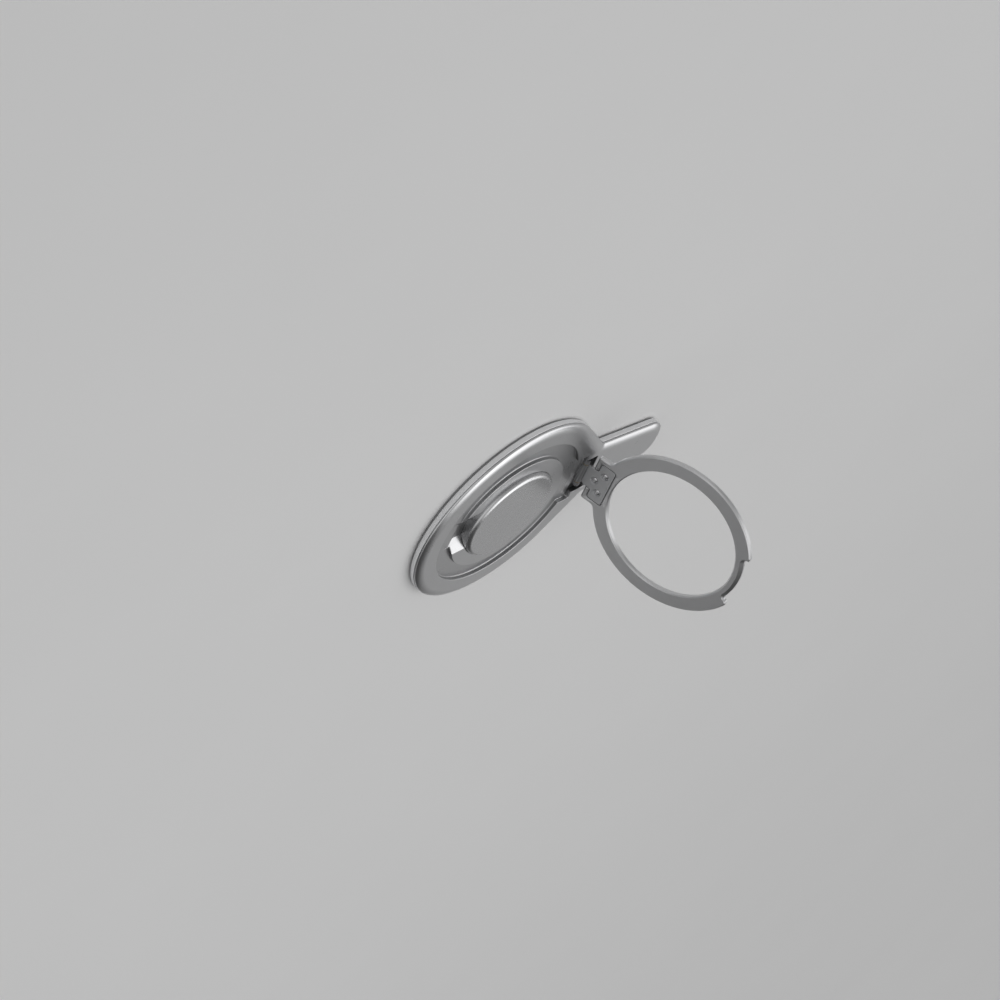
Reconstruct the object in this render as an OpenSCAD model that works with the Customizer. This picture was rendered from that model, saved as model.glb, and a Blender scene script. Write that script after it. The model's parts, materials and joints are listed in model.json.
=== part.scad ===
// Magnetic mount with a fold-out ring: a round magnet housing with a tab, and a grip
// ring that folds flat into a round channel on a friction hinge.
// Origin: centre of the round magnet face. +Z points from that face into the housing,
// +X towards the tab. Millimetres.

/* [Contact face] */
// Thickness of the soft pad on the magnet face
pad_t = 0.4; // [0.3:0.05:0.6]
// Thickness of the adhesive film that holds the pad
film_t = 0.1; // [0.05:0.05:0.2]
// How far the pad is set back from the housing's edge
pad_inset = 0.35; // [0.2:0.05:0.6]

/* [Housing] */
// Width of the rim outside the channel
rim_w = 5.65; // [4.6:0.05:6.8]
// Height of the tray's wall
tray_h = 1.25; // [1.2:0.05:1.8]
// Wall of the tray round the magnets
tray_wall = 1.35; // [1.1:0.05:1.65]
// Thickness of the tray's floor
tray_floor = 0.3; // [0.25:0.05:0.4]
// Height of the groove that shows as the dark parting line
parting_h = 0.3; // [0.2:0.05:0.4]
// How far that groove is set back from the wall
parting_depth = 0.25; // [0.15:0.05:0.35]
// Height of the rounded shoulder above the parting line
shoulder_h = 0.9; // [0.75:0.05:1.5]
// Width of the rounded shoulder, seen from above
shoulder_w = 2.3; // [1.5:0.1:2.8]

/* [Tab] */
// Length of the tab beyond the hinge's axis
tab_l = 26.1; // [21.5:0.1:32]
// Distance from the hinge's axis to the waist, where the tab's sides begin
waist_d = 3.15; // [2.9:0.05:4]
// How much wider the waist is than the ring's root, on each side
waist_extra = 1.5; // [1.2:0.05:2.2]
// Taper of each side of the tab, in degrees
tab_taper = 8.3; // [4:0.1:9]
// Radius of the tab's two end corners, which the tab's width may limit
tab_corner_r = 5; // [3.5:0.1:6]
// Radius of the fillet between the housing and the tab
waist_fillet_r = 1.5; // [1:0.1:3]

/* [Channel and ledge] */
// Gap between the folded ring and the rim outside it
rim_gap = 0.45; // [0.3:0.05:0.8]
// Gap between the folded ring and the ledge inside it
ledge_gap = 0.25; // [0.15:0.05:0.5]
// Depth of the channel below the rim
channel_depth = 1.05; // [0.85:0.05:1.3]
// Gap under the folded ring
floor_gap = 0.15; // [0.1:0.05:0.3]
// Fillet at the bottom corners of the channel
channel_fillet = 0.25; // [0.1:0.05:0.35]
// Bevel on the channel's two upper edges
channel_bevel = 0.15; // [0.05:0.05:0.25]
// Half width of the finger scoop at the height of the ledge
scoop_half_w = 6.5; // [5.4:0.1:8]
// Half width of the scoop's flat bottom
scoop_floor_half_w = 2.45; // [1.5:0.05:3]
// Depth of the finger scoop
scoop_depth = 1.75; // [1.4:0.05:1.9]

/* [Centre cap] */
// Radius of the centre cap
cap_r = 12.8; // [10.5:0.1:15.5]
// Height of the cap's flat top above the rim
cap_rise = 1.2; // [1:0.05:2]
// Radius of the cap's rounded edge
cap_edge_r = 1; // [0.6:0.1:1.2]
// Wall of the hollow cap
cap_wall = 0.9; // [0.7:0.1:1.1]

/* [Grip ring] */
// Inner radius of the ring
ring_inner_r = 16.9; // [14:0.1:20.5]
// Width of the ring's flat face
ring_w = 3.95; // [3.3:0.05:4.75]
// Thickness of the ring
ring_t = 1.45; // [1.2:0.05:1.9]
// Bevel on the ring's edges
ring_bevel = 0.3; // [0.15:0.05:0.4]
// Half width of the ring's root beside the hinge
root_half_w = 7.1; // [6.5:0.1:8.6]
// Fillet between the root and the ring
root_fillet_r = 1.5; // [1:0.1:2]
// Distance from the hinge's axis to the end of the root
root_end_d = 2.35; // [2.3:0.05:2.8]
// Radius of the root's two corners
root_corner_r = 0.5; // [0.45:0.05:1]
// Half width of the notch that gives a fingernail its hold at the tip
tip_half_w = 6.25; // [5:0.05:7.5]
// Depth of that notch in the ring's outer edge
tip_depth = 1.75; // [1.2:0.05:2.1]
// Radius of the notch's corners
tip_corner_r = 0.6; // [0.3:0.05:0.8]
// Width of the bevel under the notch's edge
tip_bevel_w = 0.8; // [0.4:0.05:1]
// Height of that bevel
tip_bevel_h = 0.5; // [0.3:0.05:0.7]
// Opening angle from folded flat, in degrees
open_angle = 104.3; // [0:0.1:119]

/* [Hinge] */
// Distance from the channel's outer edge to the hinge's axis
hinge_offset = 4.2; // [4.1:0.05:4.7]
// Radius of the hinge's shaft
shaft_r = 0.5; // [0.4:0.05:0.6]
// Running clearance round the shaft
shaft_clear = 0.02; // [0.01:0.01:0.04]
// Outer radius of the knuckles
knuckle_r = 0.85; // [0.75:0.05:1.05]
// Half width of the leaf's neck, which carries its knuckle
leaf_neck_half_w = 3.05; // [2.5:0.05:3.7]
// Width of the ring's metal at each side of the leaf's plate
leaf_side_w = 1.45; // [1.2:0.05:1.75]
// Width of the ring's metal beyond the leaf's plate
leaf_margin = 1.05; // [0.85:0.05:1.3]
// Distance from the axis to the near edge of the plate's wings
leaf_wing_d = 3.7; // [3.4:0.05:4.2]
// Radius of the plate's corners
leaf_corner_r = 0.55; // [0.3:0.05:0.7]
// Thickness of the leaf
leaf_t = 0.6; // [0.5:0.05:0.75]
// Gap round the leaf, which shows as a fine seam
leaf_gap = 0.1; // [0.05:0.05:0.2]
// Thickness of each friction washer
washer_t = 0.18; // [0.1:0.02:0.26]
// Width of each ear of the bracket
ear_w = 0.9; // [0.7:0.05:1.1]
// Thickness of the bracket's plate
bracket_t = 0.35; // [0.3:0.05:0.45]
// Radius of the rivets' heads
rivet_head_r = 0.95; // [0.8:0.05:1.15]

/* [Magnets] */
// Number of magnets in the round array
magnet_count = 16; // [12:1:20]
// Thickness of the magnets
magnet_t = 0.85; // [0.7:0.05:1]
// Gap between one magnet and the next, in degrees
magnet_gap = 1.2; // [0.5:0.1:3]
// Thickness of the steel yokes on the magnets
yoke_t = 0.3; // [0.2:0.05:0.4]
// Wall between the channel and the magnets
channel_wall = 0.4; // [0.3:0.05:0.6]
// Distance from the end of the tab to its magnets
tab_magnet_end = 3.9; // [3.5:0.1:5]

/* [Hidden] */
$fn = 96;
fit_gap = 0.05;
seat_gap = 0.02;
lay_gap = 0.2;
cut_over = 1;
cut_h = 10;
arc_step = 5;

tray_z = pad_t + film_t;
floor_z = tray_z + tray_floor;
tray_top_z = tray_z + tray_h;
shell_base_z = tray_top_z + parting_h;
rim_top_z = shell_base_z + shoulder_h;
channel_floor_z = rim_top_z - channel_depth;
hinge_z = channel_floor_z + floor_gap;
cap_top_z = rim_top_z + cap_rise;
scoop_floor_z = rim_top_z - scoop_depth;

ledge_r = ring_inner_r - ledge_gap;
ring_outer_r = ring_inner_r + ring_w;
channel_outer_r = ring_outer_r + rim_gap;
housing_r = channel_outer_r + rim_w;
hinge_x = channel_outer_r + hinge_offset;
tab_end_x = hinge_x + tab_l;
waist = [hinge_x + waist_d, root_half_w + waist_extra];

leaf_neck_end = leaf_neck_half_w + washer_t + 2 * seat_gap;
ear_end = leaf_neck_end + ear_w;
shaft_head_r = knuckle_r - 0.1;
shaft_head_t = 0.3;
washer_r = knuckle_r - 0.05;
leaf_half_w = root_half_w - leaf_side_w;
leaf_end_d = hinge_x - ring_inner_r - leaf_margin;
leaf_slit_end_d = knuckle_r + 0.45;
leaf_slit_h = leaf_t / 2;

slot_half_w = root_half_w + rim_gap;
slot_start_x = ring_inner_r + 0.6;
slot_end_x = hinge_x - root_end_d + 0.35;
cavity_half_w = ear_end + shaft_head_t + 1.1;
cavity_start_x = slot_end_x - 0.4;
cavity_end_x = hinge_x + 2.2;

screw_r = 0.55;
screw_l = 1;
screw_head_r = 1.15;
screw_head_t = 0.28;
screw_y = 2.3;
socket_r = 0.5;
socket_depth = 0.15;
bracket_z = floor_z + screw_head_t + 0.07;
bracket_x = hinge_x + 1.4;
bracket_end_x = bracket_x + 6;
screw_x = bracket_x + 3.6;
ear_foot_x = bracket_x + 0.4;

rivet_r = 0.5;
rivet_head_t = leaf_t / 2;
rivet_l = ring_t - 0.35;
rivet_dish_r = 0.45;
rivet_dish_h = 0.1;
rivet_near_d = leaf_wing_d - 0.05;
rivet_far_d = leaf_end_d - 2.05;
rivet_y = leaf_half_w / 2;
rivet_places = [[rivet_near_d, 0], [rivet_far_d, rivet_y], [rivet_far_d, -rivet_y]];

magnet_z = floor_z;
yoke_z = magnet_z + magnet_t;
pocket_top_z = yoke_z + yoke_t + 0.1;
pocket_inner_r = channel_outer_r + channel_wall;
pocket_outer_r = housing_r - tray_wall;
magnet_inner_r = pocket_inner_r + 0.3;
magnet_outer_r = pocket_outer_r - lay_gap;
bay_half_w = slot_half_w + lay_gap;
yoke_gap_half_w = bay_half_w + 0.1;
array_start = asin(yoke_gap_half_w / magnet_inner_r);
magnet_pitch = (360 - 2 * array_start) / magnet_count;

// Lines and arcs of the housing's outline: the tab's side line by its normal's direction
// and distance, the flare as the tangent from the waist to the round part, the centre of
// the fillet between the two, and the tab's end corner.
side_dir = 90 - tab_taper;
side_dist = waist * [cos(side_dir), sin(side_dir)];
flare_dir = atan2(waist[1], waist[0]) + acos(housing_r / norm(waist));
waist_c = meet(flare_dir, housing_r + waist_fillet_r, side_dir, side_dist + waist_fillet_r);
corner_min_y = 0.5;
corner_r = min(
    tab_corner_r,
    (side_dist - tab_end_x * cos(side_dir) - corner_min_y * sin(side_dir)) / (1 - cos(side_dir))
);
corner_c = [
    tab_end_x - corner_r,
    (side_dist - corner_r - (tab_end_x - corner_r) * cos(side_dir)) / sin(side_dir)
];

// The tab's two magnets lie between the bracket and the tab's end, inside its walls
tab_magnet_gap = 0.3;
tab_magnet_x = bracket_end_x + 1.3;
tab_magnet_end_x = tab_end_x - tab_magnet_end;
tab_magnet_pitch = (tab_magnet_end_x - tab_magnet_x + tab_magnet_gap) / 2;
tab_magnet_l = tab_magnet_pitch - tab_magnet_gap;
tab_bay_half_w = min(side_y(tab_magnet_end_x), corner_y(tab_magnet_end_x));
tab_magnet_half_w = tab_bay_half_w - lay_gap;

// The point where two lines meet, each given by its normal's direction and its distance
function meet(a, da, b, db) =
    [da * sin(b) - db * sin(a), db * cos(a) - da * cos(b)] / sin(b - a);

// Inner half width of the tab at x, inside its side wall and inside its end corner
function tab_inset() = tray_wall + fit_gap + 0.3;
function side_y(x) = (side_dist - tab_inset() - x * cos(side_dir)) / sin(side_dir);
function corner_y(x) =
    let (r = corner_r - tab_inset(), dx = max(0, x + 0.1 - corner_c[0]))
    corner_c[1] + sqrt(max(0, r * r - dx * dx));

// Points on an arc, from one direction to the other
function arc(c, r, from, to, step) =
    let (n = max(1, ceil(abs(to - from) / step)))
    [for (i = [0:n]) let (a = from + (to - from) * i / n) c + r * [cos(a), sin(a)]];

// A half outline above the X axis that starts on it, and its mirror image below
function mirrored(h) = concat(h, [for (i = [len(h) - 1:-1:1]) [h[i][0], -h[i][1]]]);

// The housing's outline, set in by g: round part, flare, waist, tab, corner
function outline(g) = mirrored(concat(
    arc([0, 0], housing_r - g, 180, flare_dir, arc_step),
    arc(waist_c, -(waist_fillet_r + g), flare_dir, side_dir, 10),
    arc(corner_c, corner_r - g, side_dir, 0, 8)
));

// A solid skinned over mirrored outlines of equal length at given heights, from below.
// Each end is closed by strips between the points that mirror each other.
module skin(outlines, heights) {
    n = len(outlines[0]);
    last = len(heights) - 1;
    points = [for (k = [0:last], p = outlines[k]) [p[0], p[1], heights[k]]];
    sides = [for (k = [0:last - 1], i = [0:n - 1])
        let (a = k * n + i, b = k * n + (i + 1) % n) each [[a, b + n, a + n], [a, b, b + n]]];
    bottom = [for (i = [0:(n - 1) / 2])
        let (j = (n - i) % n, a = i + 1, b = n - i - 1)
        each concat(i == 0 ? [] : [[i, j, a]], a == b ? [] : [[a, j, b]])];
    top = [for (t = bottom) [t[0] + last * n, t[2] + last * n, t[1] + last * n]];
    polyhedron(points, concat(sides, bottom, top));
}

module plate(g, z, t) {
    translate([0, 0, z]) linear_extrude(t) polygon(outline(g));
}

// A block from its low corner to its high corner
module block(low, high) {
    translate(low) cube(high - low);
}

module tube(inner, outer, z, t) {
    translate([0, 0, z]) difference() {
        cylinder(h = t, r = outer);
        translate([0, 0, -cut_over]) cylinder(h = t + 2 * cut_over, r = inner);
    }
}

// Round channel for the ring, with filleted floor corners and bevelled upper edges
module channel_cut() {
    f = channel_fillet;
    b = channel_bevel;
    top = rim_top_z + cut_over;
    rotate_extrude() polygon(concat(
        arc([ledge_r + f, channel_floor_z + f], f, 180, 270, 30),
        arc([channel_outer_r - f, channel_floor_z + f], f, 270, 360, 30),
        [[channel_outer_r, rim_top_z - b], [channel_outer_r + b + cut_over, top],
         [ledge_r - b - cut_over, top], [ledge_r, rim_top_z - b]]
    ));
}

// Scoop across the ledge opposite the hinge, with a ramp at each end, where a fingertip
// reaches under the folded ring
module scoop_cut() {
    slope = (scoop_half_w - scoop_floor_half_w) / scoop_depth;
    top_half_w = scoop_half_w + slope * cut_over;
    difference() {
        translate([-ledge_r - 0.1, 0, 0]) rotate([90, 0, 90]) linear_extrude(ledge_r) polygon([
            [-top_half_w, rim_top_z + cut_over], [-scoop_floor_half_w, scoop_floor_z],
            [scoop_floor_half_w, scoop_floor_z], [top_half_w, rim_top_z + cut_over]
        ]);
        cylinder(h = cut_h, r = cap_r - 0.1);
    }
}

// Slot for the ring's root, and the cavity in which the hinge turns
module hinge_cut() {
    top = rim_top_z + cut_over;
    block([slot_start_x, -slot_half_w, channel_floor_z], [slot_end_x, slot_half_w, top]);
    block([cavity_start_x, -cavity_half_w, 0], [cavity_end_x, cavity_half_w, top]);
}

// Pockets under the rim and the tab for the magnets, the yokes and the bracket
module magnet_pockets() {
    bay_x = tab_magnet_x - 0.4;
    bay_end_x = tab_magnet_end_x + 0.1;
    bracket_bay_half_w = ear_end + lay_gap;
    bracket_bay_top_z = bracket_z + bracket_t + fit_gap;
    difference() {
        tube(pocket_inner_r, pocket_outer_r, 0, pocket_top_z);
        block([0, -bay_half_w, -cut_over], [housing_r, bay_half_w, pocket_top_z + cut_over]);
    }
    block([bay_x, -tab_bay_half_w, 0], [bay_end_x, tab_bay_half_w, pocket_top_z]);
    block([slot_end_x, -bracket_bay_half_w, 0],
          [bracket_end_x + lay_gap, bracket_bay_half_w, bracket_bay_top_z]);
}

// Machined shell: shoulder, rim, channel, ledge and tab in one piece
module top_shell() {
    turns = [for (a = [0:15:90]) a];
    insets = concat([parting_depth, parting_depth], [for (a = turns) shoulder_w * (1 - cos(a))]);
    heights = concat([tray_top_z, shell_base_z], [for (a = turns) shell_base_z + shoulder_h * sin(a)]);
    color([0.58, 0.58, 0.6]) difference() {
        union() {
            skin([for (g = insets) outline(g)], heights);
            plate(tray_wall + fit_gap, floor_z, tray_top_z - floor_z + lay_gap);
        }
        channel_cut();
        scoop_cut();
        translate([0, 0, -cut_over]) cylinder(h = cut_h, r = cap_r + fit_gap);
        hinge_cut();
        magnet_pockets();
        for (y = [-screw_y, screw_y])
            translate([screw_x, y, 0]) cylinder(h = bracket_z + screw_l + 0.1, r = screw_r + seat_gap);
    }
}

// Hollow cap pressed into the shell, closed on top
module centre_cap() {
    inner_r = cap_r - cap_wall;
    inner_z = cap_top_z - cap_wall - 0.2;
    color([0.6, 0.6, 0.61]) rotate_extrude() polygon(concat(
        [[inner_r, floor_z], [cap_r, floor_z]],
        arc([cap_r - cap_edge_r, cap_top_z - cap_edge_r], cap_edge_r, 0, 90, 15),
        [[0, cap_top_z], [0, inner_z], [inner_r, inner_z]]
    ));
}

// Open tray that closes the housing from below
module base_tray() {
    color([0.5, 0.5, 0.52]) difference() {
        plate(0, tray_z, tray_h);
        plate(tray_wall, floor_z, tray_h);
    }
}

module face_pad() {
    color([0.2, 0.2, 0.21]) plate(pad_inset, 0, pad_t);
}

module pad_adhesive() {
    color([0.75, 0.72, 0.6]) plate(pad_inset + 0.2, pad_t, film_t);
}

// Flat steel ring on the back of the array, open at the hinge
module array_yoke() {
    color([0.45, 0.45, 0.46]) difference() {
        tube(magnet_inner_r, magnet_outer_r, yoke_z, yoke_t);
        block([0, -yoke_gap_half_w, 0], [housing_r, yoke_gap_half_w, housing_r]);
    }
}

// One arc magnet of the round array, counted from the hinge round the housing
module array_magnet(i) {
    from = array_start + magnet_pitch * (i - 1) + magnet_gap / 2;
    to = from + magnet_pitch - magnet_gap;
    color([0.62, 0.62, 0.64]) translate([0, 0, magnet_z]) linear_extrude(magnet_t) polygon(concat(
        arc([0, 0], magnet_outer_r, from, to, 4),
        arc([0, 0], magnet_inner_r, to, from, 4)
    ));
}

module tab_magnet(i) {
    color([0.62, 0.62, 0.64])
        translate([tab_magnet_x + tab_magnet_pitch * (i - 1), -tab_magnet_half_w, magnet_z])
            cube([tab_magnet_l, 2 * tab_magnet_half_w, magnet_t]);
}

module tab_yoke() {
    color([0.45, 0.45, 0.46]) translate([tab_magnet_x, -tab_magnet_half_w, yoke_z])
        cube([tab_magnet_end_x - tab_magnet_x, 2 * tab_magnet_half_w, yoke_t]);
}

// A cylinder along the hinge's axis, from one distance from the middle to another
module on_axis(from, to, r) {
    translate([0, from, 0]) rotate([-90, 0, 0]) cylinder(h = to - from, r = r);
}

// Steel bracket: a plate screwed up into the tab, and two ears that carry the shaft
module hinge_bracket() {
    low = bracket_z - hinge_z;
    high = low + bracket_t;
    bore_end = ear_end + cut_over;
    color([0.5, 0.5, 0.51]) difference() {
        translate([hinge_x, 0, hinge_z]) union() {
            block([bracket_x - hinge_x, -ear_end, low], [bracket_end_x - hinge_x, ear_end, high]);
            for (side = [-1, 1])
                scale([1, side, 1]) {
                    on_axis(leaf_neck_end, ear_end, knuckle_r);
                    block([0, leaf_neck_end, low], [knuckle_r, ear_end, 0]);
                    block([0, leaf_neck_end, low], [ear_foot_x - hinge_x, ear_end, high]);
                }
        }
        translate([hinge_x, 0, hinge_z]) on_axis(-bore_end, bore_end, shaft_r + shaft_clear);
        for (y = [-screw_y, screw_y])
            translate([screw_x, y, 0]) cylinder(h = hinge_z, r = screw_r + seat_gap);
    }
}

// Two low-head screws with a six-sided socket, which hold the bracket up in the tab
module bracket_screws() {
    color([0.35, 0.35, 0.37]) for (y = [-screw_y, screw_y])
        translate([screw_x, y, bracket_z - screw_head_t]) difference() {
            union() {
                cylinder(h = screw_head_t, r = screw_head_r);
                cylinder(h = screw_head_t + screw_l, r = screw_r);
            }
            translate([0, 0, -cut_over]) cylinder(h = cut_over + socket_depth, r = socket_r, $fn = 6);
        }
}

// Shaft with a head peened over each ear
module hinge_shaft() {
    head = ear_end + seat_gap;
    color([0.68, 0.68, 0.7]) translate([hinge_x, 0, hinge_z]) {
        on_axis(-head - shaft_head_t, head + shaft_head_t, shaft_r);
        on_axis(-head - shaft_head_t, -head, shaft_head_r);
        on_axis(head, head + shaft_head_t, shaft_head_r);
    }
}

// Friction washer between the leaf's knuckle and one ear, on the +Y or the -Y side
module hinge_washer(side) {
    from = leaf_neck_half_w + seat_gap;
    to = from + washer_t;
    color([0.72, 0.66, 0.5]) translate([hinge_x, 0, hinge_z]) rotate([0, 0, side > 0 ? 0 : 180])
        difference() {
            on_axis(from, to, washer_r);
            on_axis(from - cut_over, to + cut_over, shaft_r + shaft_clear);
        }
}

// Carries what is drawn folded flat, with the axis at the origin and the ring
// towards -X, to the opened place
module opened() {
    translate([hinge_x, 0, hinge_z]) rotate([0, open_angle, 0]) children();
}

// The leaf's plate with its neck, grown by g: the neck, a round inner corner, the wing
// and two round outer corners on each side
module leaf_plan(g) {
    r = leaf_corner_r;
    half = concat(
        arc([leaf_wing_d - r, leaf_neck_half_w + r], r - g, -90, 0, 30),
        arc([leaf_wing_d + r, leaf_half_w - r], r + g, 180, 90, 30),
        arc([leaf_end_d - r, leaf_half_w - r], r + g, 90, 0, 30)
    );
    whole = mirrored(concat([[0, 0], [0, leaf_neck_half_w + g]], half));
    polygon([for (p = whole) [-p[0], p[1]]]);
}

// Steel leaf let into the ring's underside, with its end rolled round the shaft and a
// slit where the roll comes back to the plate
module hinge_leaf() {
    neck = leaf_neck_half_w;
    color([0.5, 0.5, 0.51]) opened() difference() {
        union() {
            difference() {
                linear_extrude(leaf_t) leaf_plan(0);
                block([-leaf_slit_end_d, -neck - cut_over, -cut_over], [0, neck + cut_over, leaf_slit_h]);
            }
            on_axis(-neck, neck, knuckle_r);
        }
        on_axis(-neck - cut_over, neck + cut_over, shaft_r + shaft_clear);
        for (p = rivet_places) translate([-p[0], p[1], -cut_over]) {
            cylinder(h = cut_over + rivet_head_t, r = rivet_head_r + fit_gap);
            cylinder(h = cut_over + leaf_t + cut_over, r = rivet_r + seat_gap);
        }
    }
}

// Three rivets with dished heads, flush in the leaf and set in the ring
module leaf_rivets() {
    color([0.62, 0.62, 0.64]) opened() for (p = rivet_places)
        translate([-p[0], p[1], 0]) rotate_extrude($fn = 48) polygon([
            [0, rivet_dish_h], [rivet_dish_r, 0], [rivet_head_r - rivet_dish_h, 0],
            [rivet_head_r, rivet_dish_h], [rivet_head_r, rivet_head_t], [rivet_r, rivet_head_t],
            [rivet_r, rivet_l], [0, rivet_l]
        ]);
}

// Section of the ring, bevelled on all four corners
module ring_section() {
    b = ring_bevel;
    polygon([
        [ring_inner_r, b], [ring_inner_r + b, 0], [ring_outer_r - b, 0], [ring_outer_r, b],
        [ring_outer_r, ring_t - b], [ring_outer_r - b, ring_t],
        [ring_inner_r + b, ring_t], [ring_inner_r, ring_t - b]
    ]);
}

// Outline of the root, set in by g: its sides leave the ring on concave fillets and end
// in round corners. It starts inside the ring.
function root_plan(g) =
    let (r = root_fillet_r, y = root_half_w + r, x = sqrt(pow(ring_outer_r + r, 2) - y * y),
         a = atan2(y, x), inner = (ring_outer_r - 1) * [cos(a), sin(a)],
         c = [hinge_x - root_end_d - root_corner_r, root_half_w - root_corner_r])
    mirrored(concat(
        [[inner[0] - 0.2, 0], inner],
        arc([x, y], -(r + g), a, 90, 15),
        arc(c, root_corner_r - g, 90, 0, 30)
    ));

// The root, with the ring's bevel along its edges
module ring_root() {
    b = ring_bevel;
    skin([root_plan(b), root_plan(0), root_plan(0), root_plan(b)], [0, b, ring_t - b, ring_t]);
}

// A point at radius r and at an angle from the ring's tip
function from_tip(r, t) = r * [-cos(t), sin(t)];

// Cut for the notch in the ring's outer edge at the tip: round inner corners, round outer
// corners, and a bevel on the underside
module tip_cut() {
    r = tip_corner_r;
    tip_r = ring_outer_r - tip_depth;
    far_r = ring_outer_r + 3;
    half = asin(tip_half_w / ring_outer_r);
    in_t = half - asin(r / (tip_r + r));
    out_t = half + asin(r / (ring_outer_r - r));
    sector = mirrored([[0, 0], from_tip(far_r, in_t), from_tip(far_r, 0)]);
    translate([0, 0, -cut_over]) linear_extrude(cut_h) polygon(mirrored(concat(
        arc([0, 0], tip_r, 180, 180 - in_t, 3),
        arc(from_tip(tip_r + r, in_t), r, -in_t, 90 - half, 30),
        arc(from_tip(ring_outer_r - r, out_t), r, 270 - half, 180 - out_t, 30),
        [from_tip(far_r, out_t), from_tip(far_r, 0)]
    )));
    intersection() {
        rotate_extrude() polygon([
            [tip_r - tip_bevel_w, 0], [tip_r - tip_bevel_w, -cut_over],
            [tip_r + cut_over, -cut_over], [tip_r + cut_over, tip_bevel_h], [tip_r, tip_bevel_h]
        ]);
        translate([0, 0, -cut_over]) linear_extrude(cut_h) polygon(sector);
    }
}

// Grip ring with its root for the leaf and the notch at its tip
module grip_ring() {
    color([0.56, 0.56, 0.58]) opened() difference() {
        translate([-hinge_x, 0, 0]) difference() {
            union() {
                rotate_extrude() ring_section();
                ring_root();
            }
            tip_cut();
        }
        translate([0, 0, -cut_over]) linear_extrude(cut_over + leaf_t + seat_gap) leaf_plan(leaf_gap);
        for (p = rivet_places)
            translate([-p[0], p[1], 0]) cylinder(h = rivet_l + fit_gap, r = rivet_r + seat_gap);
    }
}

top_shell();
centre_cap();
base_tray();
face_pad();
pad_adhesive();
array_yoke();
tab_yoke();
for (i = [1:magnet_count])
    array_magnet(i);
tab_magnet(1);  // tab_magnet_1
tab_magnet(2);  // tab_magnet_2
hinge_bracket();
bracket_screws();
hinge_shaft();
hinge_washer(1);  // hinge_washer_left
hinge_washer(-1);  // hinge_washer_right
hinge_leaf();
leaf_rivets();
grip_ring();
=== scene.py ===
import json
import math

import bmesh
import bpy
import numpy as np
from mathutils import Matrix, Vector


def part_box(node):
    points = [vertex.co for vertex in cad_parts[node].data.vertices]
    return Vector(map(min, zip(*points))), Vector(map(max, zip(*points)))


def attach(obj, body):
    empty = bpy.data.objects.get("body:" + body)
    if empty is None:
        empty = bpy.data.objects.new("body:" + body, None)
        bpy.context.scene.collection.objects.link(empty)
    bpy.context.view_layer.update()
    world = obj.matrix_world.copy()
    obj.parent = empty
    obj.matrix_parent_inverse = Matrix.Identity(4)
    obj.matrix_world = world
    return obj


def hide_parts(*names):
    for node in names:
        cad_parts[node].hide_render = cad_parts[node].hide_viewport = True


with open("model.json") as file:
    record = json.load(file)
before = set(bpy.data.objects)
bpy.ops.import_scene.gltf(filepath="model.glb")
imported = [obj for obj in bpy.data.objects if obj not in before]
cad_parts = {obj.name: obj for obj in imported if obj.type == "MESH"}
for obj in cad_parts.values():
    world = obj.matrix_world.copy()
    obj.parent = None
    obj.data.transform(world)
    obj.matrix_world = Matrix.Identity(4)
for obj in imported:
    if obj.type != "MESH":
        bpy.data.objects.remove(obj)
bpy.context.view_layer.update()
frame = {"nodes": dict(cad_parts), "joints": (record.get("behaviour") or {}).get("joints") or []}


# Face pad: a thin sheet of soft rubber, the only face that touches what the mount holds on
# to. It is die-cut to the housing's outline, set in a little, and stuck to the tray.
MM = 0.001
rounding = 0.001
bump_strength = 0.3
sharp_angle = math.radians(32)


def span(node):
    """Lowest and highest corner of a CAD node, in millimetres."""
    low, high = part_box(node)
    return np.array(low) / MM, np.array(high) / MM


pad_low, pad_high = span("face_pad")
tray_low, tray_high = span("base_tray")
hinge = frame["joints"][0]
hinge_x, _, hinge_z = np.array(hinge["pos_m"]) / MM

housing_r = tray_high[1]
tab_end_x = tray_high[0]
tab_taper = 8.3
tab_corner_r = 5.0
waist_r = 1.5
waist_forward = 3.15
waist_half_w = 8.6


def direction(degrees):
    """The unit vector (cos a, sin a)."""
    a = np.radians(degrees)
    return np.stack([np.cos(a), np.sin(a)], axis=-1)


def arc(centre, radius, start, end, step=2.0):
    """Points on an arc: centre + radius (cos a, sin a), with a from start to end in equal
    steps. A pair of radii changes evenly from the first to the second."""
    count = max(1, math.ceil(abs(end - start) / step - rounding)) + 1
    radii = np.linspace(*np.broadcast_to(radius, 2), count)
    return np.asarray(centre) + radii[:, None] * direction(np.linspace(start, end, count))


def mirrored(half):
    """A half outline above the X axis that starts on it, then its mirror image below."""
    return np.concatenate([half, half[:0:-1] * [1, -1]])


def meeting(a, distance_a, b, distance_b):
    """Where two lines cross, each given by its normal's direction and its distance."""
    return np.linalg.solve([direction(a), direction(b)], [distance_a, distance_b])


waist = np.array([hinge_x + waist_forward, waist_half_w])
side_dir = 90 - tab_taper
side_distance = waist @ direction(side_dir)
flare_dir = math.degrees(
    math.atan2(waist[1], waist[0]) + math.acos(housing_r / math.hypot(*waist)))
waist_centre = meeting(flare_dir, housing_r + waist_r, side_dir, side_distance + waist_r)
corner_centre = meeting(0, tab_end_x - tab_corner_r, side_dir, side_distance - tab_corner_r)


def outline(inset):
    """The housing seen from above, set in: round part, waist fillet and tab corner are arcs,
    and the straight flare and tab side are the chords between them."""
    return mirrored(np.concatenate([
        arc([0, 0], housing_r - inset, 180, flare_dir),
        arc(waist_centre, -(waist_r + inset), flare_dir, side_dir, 4),
        arc(corner_centre, tab_corner_r - inset, side_dir, 0, 4),
    ]))


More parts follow.
